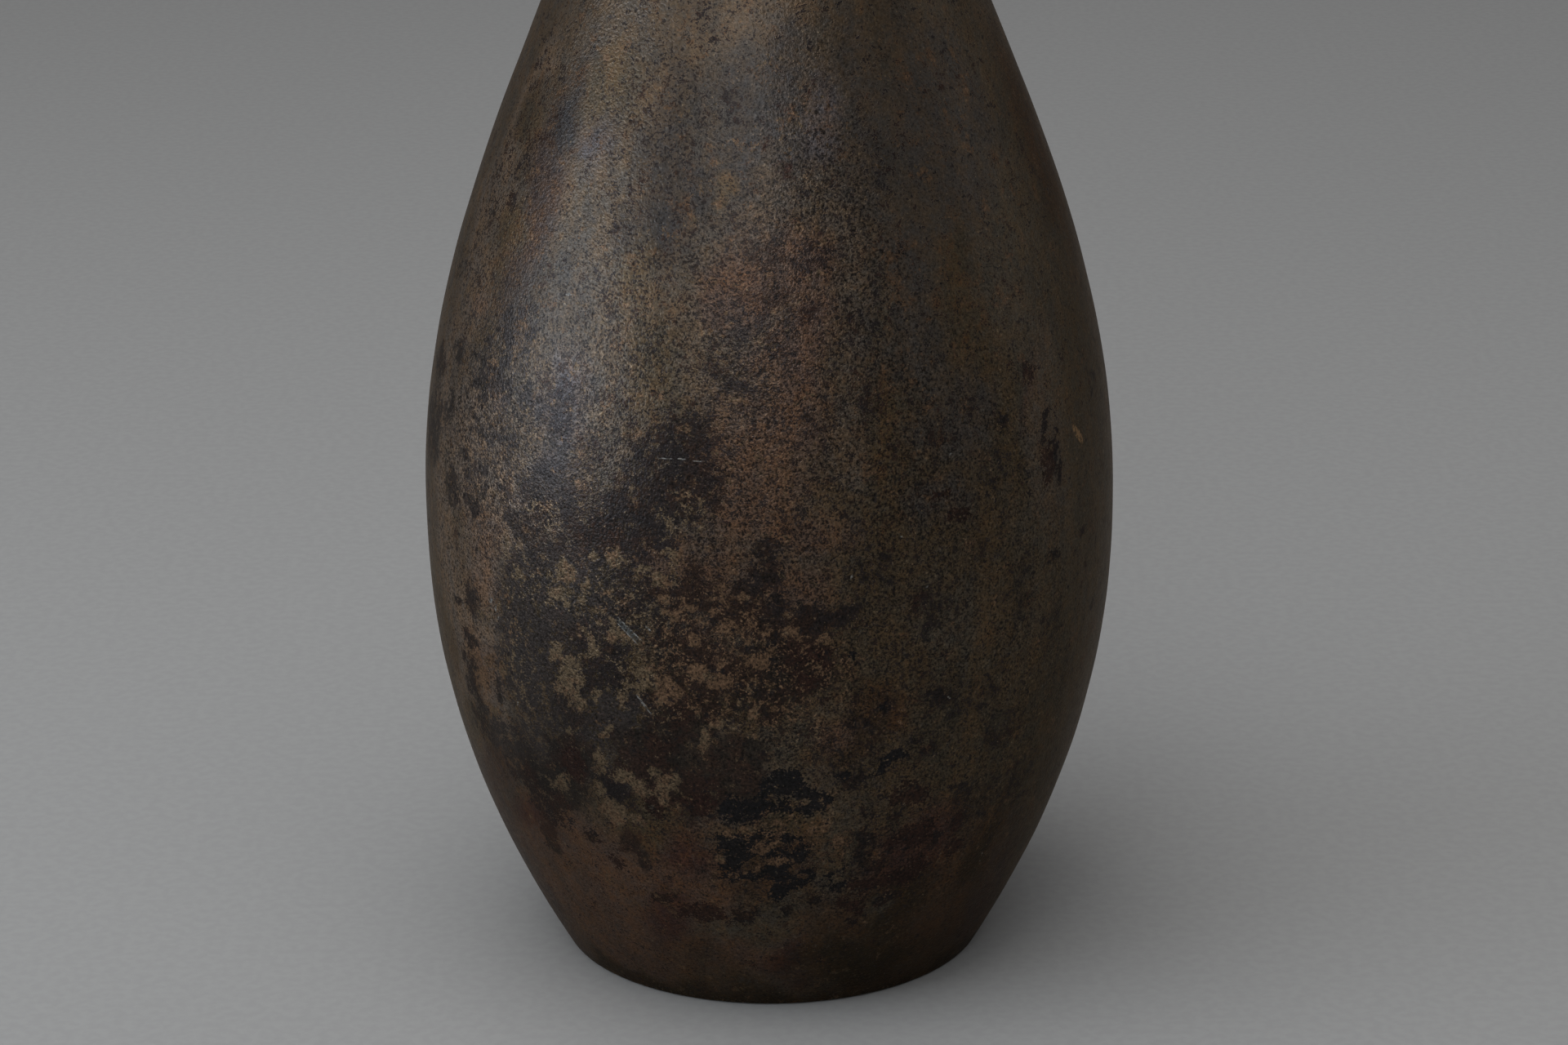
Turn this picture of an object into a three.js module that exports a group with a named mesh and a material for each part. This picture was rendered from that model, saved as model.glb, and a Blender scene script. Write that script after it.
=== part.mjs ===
// A bronze flower vase: a pear-shaped body with a slender neck and a flared mouth.
// The body is one casting, left open underneath where its core was taken out. A round plate
// is let into the foot from below, and a bead of solder holds it there and seals it.
// Millimetres, +Z up, with the origin in the middle of the foot, at the height of the table.
import * as THREE from "three";

// Outside of the body at the places that set its curve. Lean is the outside's angle from
// upright in degrees, positive where it opens upwards. A reach says how far the curve holds
// that direction on each side of the place.
const FOOT = { radius: 55.6, height: 0, lean: 30.2, reachUp: 54.6 };
const BELLY = { radius: 90, height: 122, lean: 0, reachDown: 37.8, reachUp: 40 };
const SHOULDER = { radius: 64, height: 236, lean: -21.8, reachDown: 42.9, reachUp: 48 };
const WAIST = { radius: 30.5, height: 364, lean: 0, reachDown: 46, reachUp: 20 };
const MOUTH = { radius: 43.5, height: 412, lean: 45, reachDown: 15 };

// Thickness of the casting: the wall, and the rounded lip that the wall swells to
const WALL = 3.2;
const LIP = 4.6;

// Foot: a flat rim with a rounded outer edge, thickened inside up to the height given
const FOOT_EDGE_ROUND = 1.2;
const FOOT_THICK_HEIGHT = 16;

// Seat of the base plate, let up into the foot, and the ledge that the plate bears on
const SEAT_RADIUS = 51;
const SEAT_RECESS = 4;
const LEDGE_WIDTH = 2.5;
const LEDGE_HEIGHT = 3;

// Base plate and the solder in the corner under its edge
const PLATE_THICKNESS = 2.5;
const PLATE_CHAMFER = 0.5;
const SOLDER_LEG = 2;
const JOINT_GAP = 0.3;

// Fineness of the meshes: flats round the vase, and steps along each stretch of the outline
const AROUND = 64;
const STEPS_TO_BELLY = 8;
const STEPS_TO_SHOULDER = 8;
const STEPS_TO_WAIST = 7;
const STEPS_TO_MOUTH = 6;
const STEPS_ON_LIP = 8;
const STEPS_ON_ROUND = 3;

const plateTop = SEAT_RECESS + PLATE_THICKNESS;
const plateRadius = SEAT_RADIUS - JOINT_GAP;
const radians = THREE.MathUtils.degToRad;

// Outlines are drawn as radius and height, and turned about the vertical axis.
function point(radius, height) {
  return new THREE.Vector2(radius, height);
}

function upwards(lean) {
  return point(Math.sin(radians(lean)), Math.cos(radians(lean)));
}

// Square to the outside, pointing out of the metal, as an angle from level
function outwardAngle(lean) {
  return -radians(lean);
}

function arc(centre, radius, fromAngle, toAngle, steps) {
  return Array.from({ length: steps + 1 }, (_, step) => {
    const angle = fromAngle + ((toAngle - fromAngle) * step) / steps;
    return point(centre.x + radius * Math.cos(angle), centre.y + radius * Math.sin(angle));
  });
}

// The outside between two places, leaving the lower and reaching the upper along their leans
function outsideCurve(lower, upper, start, end) {
  return new THREE.CubicBezierCurve(
    start,
    start.clone().addScaledVector(upwards(lower.lean), lower.reachUp),
    end.clone().addScaledVector(upwards(upper.lean), -upper.reachDown),
    end,
  );
}

// The lip is a half round. It tops out at the mouth's height and radius, and the outside of
// the neck runs into its lower end.
const lipCentre = point(MOUTH.radius - LIP / 2, MOUTH.height - LIP / 2);
const lipArc = arc(
  lipCentre,
  LIP / 2,
  outwardAngle(MOUTH.lean),
  outwardAngle(MOUTH.lean) + Math.PI,
  STEPS_ON_LIP,
);

function outsideStretches() {
  const foot = point(FOOT.radius, FOOT.height);
  const belly = point(BELLY.radius, BELLY.height);
  const shoulder = point(SHOULDER.radius, SHOULDER.height);
  const waist = point(WAIST.radius, WAIST.height);
  return [
    { curve: outsideCurve(FOOT, BELLY, foot, belly), steps: STEPS_TO_BELLY },
    { curve: outsideCurve(BELLY, SHOULDER, belly, shoulder), steps: STEPS_TO_SHOULDER },
    { curve: outsideCurve(SHOULDER, WAIST, shoulder, waist), steps: STEPS_TO_WAIST },
    { curve: outsideCurve(WAIST, MOUTH, waist, lipArc[0]), steps: STEPS_TO_MOUTH },
  ];
}

// The edge between the flat rim and the leaning wall is rounded. The round touches both at
// the same distance from the corner that they would meet in.
function footEdge() {
  const touch = FOOT_EDGE_ROUND * Math.tan((Math.PI / 2 - radians(FOOT.lean)) / 2);
  const centre = point(FOOT.radius - touch, FOOT_EDGE_ROUND);
  return arc(centre, FOOT_EDGE_ROUND, -Math.PI / 2, outwardAngle(FOOT.lean), STEPS_ON_ROUND);
}

// The outside from the rounded foot edge to the start of the lip
function outsidePoints(stretches) {
  const points = footEdge();
  for (const { curve, steps } of stretches) {
    points.push(...curve.getPoints(steps).slice(1));
  }
  return points.slice(0, -1);
}

// The inside follows the outside one wall's thickness in, from the lip down to the thick
// foot. Over the last stretch, from the waist to the mouth, the wall swells to the lip.
function insidePoints(stretches) {
  const points = [];
  const mouthStretch = stretches[stretches.length - 1];
  for (const stretch of [...stretches].reverse()) {
    for (let step = stretch.steps - 1; step >= 0; step -= 1) {
      const t = step / stretch.steps;
      const swell = stretch === mouthStretch ? (LIP - WALL) * t * t : 0;
      const along = stretch.curve.getTangent(t);
      const inward = point(-along.y, along.x);
      points.push(stretch.curve.getPoint(t).addScaledVector(inward, WALL + swell));
    }
  }
  return points.filter((place) => place.y > FOOT_THICK_HEIGHT);
}

// Down the inside of the thick foot, round the ledge and seat, and back to the rim
function footInside() {
  const ledgeRadius = SEAT_RADIUS - LEDGE_WIDTH;
  return [
    point(ledgeRadius, plateTop + LEDGE_HEIGHT),
    point(ledgeRadius, plateTop),
    point(SEAT_RADIUS, plateTop),
    point(SEAT_RADIUS, 0),
  ];
}

function bodyOutline() {
  const stretches = outsideStretches();
  return [
    ...outsidePoints(stretches),
    ...lipArc,
    ...insidePoints(stretches),
    ...footInside(),
  ];
}

function plateOutline() {
  return [
    point(0, SEAT_RECESS),
    point(plateRadius, SEAT_RECESS),
    point(plateRadius, plateTop - PLATE_CHAMFER),
    point(plateRadius - PLATE_CHAMFER, plateTop),
    point(0, plateTop),
  ];
}

// A hollow fillet in the corner between the plate's underside and the wall of the seat
function solderOutline() {
  const centre = point(plateRadius - SOLDER_LEG, SEAT_RECESS - SOLDER_LEG);
  return [
    ...arc(centre, SOLDER_LEG, Math.PI / 2, 0, STEPS_ON_ROUND),
    point(plateRadius, SEAT_RECESS),
  ];
}

// Turns an outline into a solid that stands along +Z. An outline that doesn't start on the
// axis is a ring, and closes on its first point.
function turned(name, outline, look) {
  const closed = outline[0].x > 0 ? [...outline, outline[0]] : outline;
  const geometry = new THREE.LatheGeometry(closed, AROUND);
  geometry.rotateX(Math.PI / 2);
  const mesh = new THREE.Mesh(geometry, new THREE.MeshStandardMaterial(look));
  mesh.name = name;
  return mesh;
}

const patinatedBronze = { color: 0x4a3c2f, roughness: 0.5, metalness: 0.8 };
const plainBronze = { color: 0x3d342b, roughness: 0.6, metalness: 0.8 };
const agedSolder = { color: 0x55524c, roughness: 0.65, metalness: 0.7 };

const vase = new THREE.Group();
vase.add(turned("body_casting", bodyOutline(), patinatedBronze));
vase.add(turned("base_plate", plateOutline(), plainBronze));
vase.add(turned("base_solder_bead", solderOutline(), agedSolder));

export default vase;
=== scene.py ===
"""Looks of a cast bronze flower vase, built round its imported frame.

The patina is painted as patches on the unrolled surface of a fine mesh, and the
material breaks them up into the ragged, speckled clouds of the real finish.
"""
import math
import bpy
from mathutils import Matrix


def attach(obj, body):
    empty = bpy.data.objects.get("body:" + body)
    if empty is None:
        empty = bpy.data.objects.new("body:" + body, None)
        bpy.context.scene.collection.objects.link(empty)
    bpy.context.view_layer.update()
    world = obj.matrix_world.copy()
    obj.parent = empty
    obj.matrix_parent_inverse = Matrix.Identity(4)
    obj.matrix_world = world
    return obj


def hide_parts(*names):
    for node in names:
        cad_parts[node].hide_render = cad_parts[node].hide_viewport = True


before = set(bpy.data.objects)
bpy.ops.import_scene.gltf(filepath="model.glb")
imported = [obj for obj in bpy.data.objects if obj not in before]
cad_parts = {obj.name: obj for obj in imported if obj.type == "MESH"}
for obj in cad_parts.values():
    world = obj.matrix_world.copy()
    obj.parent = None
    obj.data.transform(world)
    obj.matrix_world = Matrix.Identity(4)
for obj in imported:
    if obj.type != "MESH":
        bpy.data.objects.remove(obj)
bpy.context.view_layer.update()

from types import SimpleNamespace

import bpy
import numpy as np
from mathutils import Matrix, Vector, noise

MM = 0.001

# Outside of the casting at the places that set its curve, in millimetres and degrees, as in
# the CAD: lean is from upright, positive where the outside opens upwards.
FOOT = {"radius": 55.6, "height": 0.0, "lean": 30.2, "reach_up": 54.6}
BELLY = {"radius": 90.0, "height": 122.0, "lean": 0.0, "reach_down": 37.8, "reach_up": 40.0}
SHOULDER = {"radius": 64.0, "height": 236.0, "lean": -21.8, "reach_down": 42.9, "reach_up": 48.0}
WAIST = {"radius": 30.5, "height": 364.0, "lean": 0.0, "reach_down": 46.0, "reach_up": 20.0}
MOUTH = {"radius": 43.5, "height": 412.0, "lean": 45.0, "reach_down": 15.0}
WALL = 3.2
LIP = 4.6
FOOT_EDGE_ROUND = 1.2
FOOT_THICK_HEIGHT = 16.0

# Seat in the foot, base plate and solder
SEAT_RADIUS = 51.0
SEAT_RECESS = 4.0
SEAT_EDGE_BREAK = 0.4
LEDGE_WIDTH = 2.5
LEDGE_HEIGHT = 3.0
PLATE_THICKNESS = 2.5
PLATE_TOP = SEAT_RECESS + PLATE_THICKNESS
JOINT_GAP = 0.3
SOLDER_LEG = 2.0

# Fineness of the meshes: columns are closer together in front, where the detail is
AROUND = 320
FRONT_FINER = 22.0
OUTSIDE_SPACING = 1.85
INSIDE_SPACING = 9.0
LIP_STEPS = 10
FOOT_EDGE_STEPS = 4

# The share of the flat map's height that a step inside the vase gets, against one outside,
# and the margin round the map
INSIDE_MAP_SHARE = 0.2
MAP_MARGIN = 0.002

# How far the casting's outside wanders, in millimetres, the two scales of that, per metre,
# and the heights between which it comes up from the true foot and goes down to the true lip
WANDER = 0.16
WANDER_SCALE = 28
FINE_WANDER_SCALE = 75
FOOT_TRUE_UP_TO = (2, 20)
LIP_TRUE_FROM = (385, 404)

# How far the patches of the patina and the areas of tone are moved about, and over what size
PATCH_REACH, PATCH_WANDER = 2.4, 9
TONE_REACH, TONE_WANDER = 9, 26

# Wear: how much the foot's edge has, where it fades, and how far up the lip it comes in
FOOT_WEAR = 0.3
FOOT_WEAR_FADE = (0.2, 2.2)
LIP_WEAR_RISE = 3

# Base plate: fineness, edges, lathe rings, turning in radians per millimetre, and centre mark
PLATE_AROUND = 160
PLATE_STEPS = 60
PLATE_TOP_STEPS = 9
PLATE_TOP_INSET = 4
PLATE_EDGE_BREAK = 0.3
PLATE_CHAMFER = 0.5
RING_DEPTH = 0.03
RING_TURN = 2.2
CENTRE_MARK_RADIUS = 0.2
CENTRE_MARK_DEPTH = 0.5

# Solder: how much its leg swells and thins, as a share, and the scale of that, per metre
SOLDER_AROUND = 240
SOLDER_STEPS = 8
SOLDER_SWELL = 0.22
SOLDER_SWELL_SCALE = 160

# The vase unrolled at the belly: millimetres along for each degree round
UNROLL = BELLY["radius"] * math.pi / 180


# Outline of the casting: rows of radius and height in millimetres

def upwards(lean):
    angle = math.radians(lean)
    return np.array([math.sin(angle), math.cos(angle)])


def arc(centre, radius, start, end, steps):
    angles = np.linspace(start, end, steps + 1)
    return np.column_stack([
        centre[0] + radius * np.cos(angles),
        centre[1] + radius * np.sin(angles),
    ])


def controls(lower, upper, start, end):
    """The four control points of the outside between two places."""
    return np.array([
        start,
        start + upwards(lower["lean"]) * lower["reach_up"],
        end - upwards(upper["lean"]) * upper["reach_down"],
        end,
    ])


def on_curve(control, t):
    t = t[:, None]
    a, b, c, d = control
    return (1 - t) ** 3 * a + 3 * (1 - t) ** 2 * t * b + 3 * (1 - t) * t ** 2 * c + t ** 3 * d


def inward(control, t):
    """Square to the curve, pointing into the vase."""
    t = t[:, None]
    a, b, c, d = control
    along = (1 - t) ** 2 * (b - a) + 2 * (1 - t) * t * (c - b) + t ** 2 * (d - c)
    along /= np.linalg.norm(along, axis=1, keepdims=True)
    return np.column_stack([-along[:, 1], along[:, 0]])


def even_steps(control, spacing):
    """Curve parameters for points about spacing apart, from the curve's start to its end."""
    fine = np.linspace(0, 1, 400)
    points = on_curve(control, fine)
    run = np.concatenate([[0], np.cumsum(np.linalg.norm(np.diff(points, axis=0), axis=1))])
    steps = max(2, round(run[-1] / spacing))
    return np.interp(np.linspace(0, run[-1], steps + 1), run, fine)


def lip_arc():
    centre = (MOUTH["radius"] - LIP / 2, MOUTH["height"] - LIP / 2)
    start = -math.radians(MOUTH["lean"])
    return arc(centre, LIP / 2, start, start + math.pi, LIP_STEPS)


def foot_edge():
    lean = math.radians(FOOT["lean"])
    touch = FOOT_EDGE_ROUND * math.tan((math.pi / 2 - lean) / 2)
    centre = (FOOT["radius"] - touch, FOOT_EDGE_ROUND)
    return arc(centre, FOOT_EDGE_ROUND, -math.pi / 2, -lean, FOOT_EDGE_STEPS)


def stretches():
    """The curves of the outside, from the foot up to where the lip begins."""
    named = (FOOT, BELLY, SHOULDER, WAIST, MOUTH)
    places = [np.array([place["radius"], place["height"]]) for place in named[:-1]]
    places.append(lip_arc()[0])
    return [controls(*ends) for ends in zip(named, named[1:], places, places[1:])]


def casting_outline():
    """The closed outline of the casting, and how many of its points lie on the outside."""
    curves = stretches()
    outside = [foot_edge()]
    for curve in curves:
        outside.append(on_curve(curve, even_steps(curve, OUTSIDE_SPACING)[1:]))
    outside = np.vstack(outside)[:-1]
    lip = lip_arc()
    inside = []
    for curve in reversed(curves):
        t = even_steps(curve, INSIDE_SPACING)[-2::-1]
        # Up the last curve the wall thickens to the lip
        swell = (LIP - WALL) * t ** 2 if curve is curves[-1] else 0 * t
        inside.append(on_curve(curve, t) + inward(curve, t) * (WALL + swell)[:, None])
    inside = np.vstack(inside)
    inside = inside[inside[:, 1] > FOOT_THICK_HEIGHT]
    ledge = SEAT_RADIUS - LEDGE_WIDTH
    underside = np.array([
        (ledge, PLATE_TOP + LEDGE_HEIGHT),
        (ledge, PLATE_TOP),
        (SEAT_RADIUS, PLATE_TOP),
        (SEAT_RADIUS, PLATE_TOP / 2),
        (SEAT_RADIUS, SEAT_EDGE_BREAK),
        (SEAT_RADIUS + SEAT_EDGE_BREAK, 0.0),
        ((SEAT_RADIUS + FOOT["radius"]) / 2, 0.0),
    ])
    return np.vstack([outside, lip, inside, underside]), len(outside) + len(lip) // 2


# Patina: patches on the outside, unrolled at the belly. Each is azimuth in degrees from the
# side that the photo shows, positive to its right, then height, half width and half height in
# millimetres, and for a slanting one its tilt in degrees.

# Nearly black hearts of the dark clouds
DARK_CORES = [
    (-14, 166, 5, 5), (-12, 156, 5, 8), (-18, 150, 6, 6), (-23, 143, 9, 6), (-27, 136, 9, 5),
    (-18, 139, 5, 4), (-48, 70, 11, 6), (-44, 61, 7, 7), (-58, 75, 8, 5), (-46, 112, 6, 10),
    (7, 118.4, 4.6, 1.7, 8), (11.4, 120.3, 3, 1.4, 30), (-57, 110, 3, 3), (-32, 112, 6, 5),
    (-25, 88, 7, 5), (-22, 146, 7, 6), (-25, 140, 8, 5),
]
# A thin glaze, brown to olive, that dims what lies under it
BROWN_GLAZES = [
    (-12, 80, 15, 8), (-20, 83, 12, 6), (-14, 71, 10, 6), (-6, 76, 8, 7), (-22, 76, 8, 5),
    (-40, 66, 12, 8), (-36, 78, 8, 5), (4, 106, 9, 6), (-14, 90, 8, 4), (-4, 70, 6, 6),
    (-5, 83, 8, 5), (-27, 53, 4, 3), (-25, 47, 2.4, 4), (-47, 46, 3, 7),
]
# Dark clouds with torn, speckled edges
DARK_CLOUDS = [
    (-14, 164, 9, 8), (-12, 154, 8, 10), (-20, 148, 12, 9), (-27, 137, 14, 9), (-38, 126, 12, 9),
    (-41, 120, 8, 8), (-46, 104, 8, 18), (-42, 92, 12, 13), (-57, 110, 4.5, 5), (-37, 111, 10, 10),
    (-25, 121, 14, 8), (-28, 104, 8, 11), (-13, 126, 7, 6), (-14, 110, 9, 9), (-3, 121, 11, 6),
    (2, 117, 8, 5), (-2, 102, 12, 6), (3, 109, 6, 5), (-22, 87, 14, 9), (-34, 88, 10, 9),
    (-58, 75, 11, 7), (-48, 70, 15, 9), (-62, 83, 5, 4), (-44, 60, 9, 9), (-37, 74, 10, 8),
    (-22, 93, 9, 6), (-76, 148, 9, 10), (-77, 165, 6, 5), (-11, 95, 8, 5), (-20, 79, 7, 5),
    (-28, 68, 5, 8), (-13, 70, 7, 7), (0, 104, 12, 10), (5, 113, 7, 8), (-38, 147, 11, 6),
    (-33, 132, 10, 5), (-60, 88, 4, 6), (-40, 104, 9, 12), (-34, 116, 10, 6), (-18, 158, 8, 8),
]
# Dark lace: small winding flecks
DARK_LACE = [
    (-53, 170, 4, 3.6), (-51.5, 186, 3.4, 2), (-47.5, 189, 4.4, 1.6, 20), (-56, 177, 3, 1.8),
    (-59, 172.5, 3.6, 1.4), (-57.5, 168, 2.4, 2.4), (-55.5, 165, 3.2, 1.6), (-49, 167, 2.6, 3),
    (-50.5, 176, 1.8, 4), (-51.5, 180, 2.4, 2.4), (-67.5, 172, 4.5, 3), (-68, 157, 4, 5),
    (-57, 155, 2.6, 2.6), (-52.5, 154.5, 4, 2.2), (-54.5, 147, 4.2, 2.4), (-60, 147, 2.4, 1.8),
    (-58, 143, 2.4, 2.2), (-57, 136.5, 3.4, 2.6), (-52, 142, 2.4, 1.5), (-47, 157, 3.6, 1.6),
    (-47.5, 143, 2.6, 1.7), (-64, 138, 5, 5), (-44, 136, 5, 4), (-44, 168, 2.2, 4.4),
    (-46, 184, 2, 3), (-60, 98, 3, 2.4), (-63, 107, 3, 1.8), (-46, 178, 1.4, 2), (-52, 88, 1.5, 4),
    (-41, 139, 7, 5), (-60.5, 85, 2, 3), (-57, 98.6, 4, 1.4), (-63, 92, 1.4, 3),
    (-54.6, 171, 5, 3.4), (7.5, 118.6, 5.4, 2.4, 8), (13.6, 117.8, 2.6, 1), (5.5, 122, 3, 2),
    (-4, 128, 4, 3), (3, 109, 4, 3), (1.5, 112, 4, 2.4), (0, 93, 3, 2), (19, 94, 1.8, 1.9),
    (14, 96.5, 1.5, 3), (13.5, 93, 1.6, 1.4), (8, 91.5, 2, 1.6), (11.5, 108.5, 1.1, 2.2),
    (14, 90, 5, 1.3), (2, 126, 3, 2.2), (0.5, 137, 4, 3), (-1, 131, 4, 3), (27.5, 95, 4, 2.6),
    (24, 83.5, 2.6, 1.6), (26.5, 79, 3, 1.8), (42, 163, 1.6, 2.6), (52, 157, 1.4, 4.5, -10),
    (53.5, 150, 2.2, 6, -16), (55, 144.5, 1.8, 2.5), (48.5, 174, 3.4, 1.5, 20),
    (61, 124.5, 2.5, 1.5), (52, 122, 3, 1.2), (68, 103, 2, 2), (14, 74, 3.4, 2.4),
    (17, 63.5, 3, 1.1, -30), (34.5, 66, 3, 1.6), (31.5, 52, 2.5, 2.2), (17.5, 55, 4, 4),
    (17, 51, 2, 3), (19.5, 46.5, 3.6, 1.8), (16, 29, 3, 1.4), (8, 38, 3, 1.3), (2.5, 34, 2.2, 1.4),
    (-6, 33, 4, 4), (27, 42, 6, 2.4), (23, 35, 6, 2), (22, 61, 3, 1.4), (-22, 36, 4, 1.6),
    (-35, 52, 3, 3),
]
# Wide areas where the lace spreads thinly
THIN_LACE = [
    (-52, 160, 20, 34), (-36, 158, 16, 22), (2, 46, 14, 12), (22, 48, 18, 18), (14, 82, 16, 10),
    (-24, 68, 16, 12), (-3, 186, 12, 22),
]
# Where the dark patina is painted paler and greyer: a painted sheen of the left lamp on the dark
# patches
DARK_SHEEN_AREAS = [
    (-46, 102, 16, 28), (-54, 165, 18, 34), (-68, 160, 10, 40), (-38, 152, 9, 8),
    (-34, 122, 14, 10), (-54, 74, 9, 9), (-40, 74, 9, 8), (-28, 82, 9, 8), (-26, 92, 8, 5),
]
# Places that the dark patina only breathes on, as scattered specks
FAINT_SHADOWS = [
    (-27, 171, 4, 3), (-24, 163, 5, 4), (-5, 178, 5, 4), (-9, 182, 4, 4), (-30, 214, 4, 3),
    (9, 206, 7, 4), (-1, 208, 6, 5), (2, 197, 7, 4), (-2, 189, 5, 3), (6.5, 167, 5, 3),
    (3.5, 143, 4, 3), (-66, 240, 6, 5), (-70, 214, 6, 8), (-60, 224, 4, 3), (-75, 190, 6, 6),
    (-33, 158, 10, 5), (-38, 168, 6, 8), (-66, 190, 5, 3), (24, 226, 5, 7), (18, 192, 7, 5),
    (16, 172, 6, 6), (35, 168, 4, 4), (40, 150, 6, 5), (67, 217, 2.4, 2), (71, 213, 4, 2),
    (28, 162, 3, 3), (16, 130, 6, 8), (26, 118, 6, 6), (36, 132, 6, 5), (44, 118, 5, 8),
    (52, 104, 5, 6), (34, 92, 8, 6), (44, 80, 8, 6), (38, 60, 8, 8), (50, 62, 6, 8),
    (66, 223, 3, 1.6), (72, 160, 3, 4), (-8, 242, 5, 4), (-69, 248, 6, 2), (-64, 242, 5, 2),
    (-62, 236, 6, 3), (-68, 226, 4, 3), (-60, 221, 3, 2), (-69, 215, 4, 3), (-70, 199, 4, 4),
    (-60, 211, 4, 3), (-53, 231, 4, 4), (-61, 219, 5, 3), (-66, 205, 4, 3), (-56, 243, 4, 3),
    (-57, 228, 3, 2), (-64, 180, 4, 3),
]
# Blue-black patches with crisp edges
SLATE_PATCHES = [
    (2, 75, 4.5, 3.6), (5.5, 71.5, 5.5, 2.6, -25), (2.5, 66.3, 7, 1.6), (-3.5, 67, 4, 3.6),
    (8, 68, 3.5, 2), (-6.5, 66, 4.5, 3.6), (-6.5, 55, 7, 4.4), (-8.5, 50, 4, 2.6),
    (-6, 46, 6, 2, 12), (-2, 57.5, 3, 2.2), (3, 57.3, 5, 1.8), (0.5, 52.8, 5, 1.8, -10),
    (4, 52, 2.6, 1.8), (-1, 47.7, 5, 1.4, 15), (1.5, 48.6, 3.6, 1.2), (3.5, 46, 6, 1.5, 8),
    (7, 45, 1.4, 2.2), (1, 41, 2.8, 3.4), (4.5, 42.5, 3.2, 1.4), (9, 42.5, 1.5, 1.4),
    (12, 41.5, 2.8, 1.8), (10.5, 45, 1.6, 1), (13.3, 46, 1.2, 2), (6, 54, 2, 1), (0.5, 71.5, 4, 3),
    (12, 75.5, 4, 1, -12), (18.5, 77.6, 4.5, 1.2, 25), (21.5, 79, 3.5, 1.4), (18.8, 94, 1.5, 1.2),
    (13.2, 108.6, 0.8, 0.9), (13.6, 105.4, 0.9, 0.8),
]
# Dark red patches
OXBLOOD_PATCHES = [
    (7.5, 110.5, 5.5, 1.4), (5, 108, 4, 1.6), (8.5, 107.6, 2.6, 1.2), (6, 102.6, 5, 1.8),
    (5.5, 100.5, 3.6, 1.2), (9, 99, 2, 1.2), (24.5, 68, 7, 3.6), (27, 65, 4, 2),
    (27.5, 55, 6, 4.6), (23, 53, 4, 2.4), (26, 41.5, 8, 3.4), (28.5, 44, 3.6, 3),
    (17.5, 40.8, 6, 2.4), (22.5, 41, 3, 2), (15, 35, 4.5, 2.4), (17.5, 32.3, 2.4, 1.4),
    (-14, 32.5, 8, 2.4), (-31, 46, 3.4, 2.6), (-21, 67, 4, 4), (-13, 67, 5, 3.4),
    (51.5, 147.5, 2.6, 4.6), (49.5, 171, 3, 2.4), (4.5, 227.6, 1.4, 1.4), (-8.7, 205.5, 1, 1.2),
    (28, 147.5, 2.6, 1.6), (31, 141.5, 4, 1.4), (-36, 74, 3, 5), (37, 47, 3, 3), (36, 55, 3, 4),
]
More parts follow.
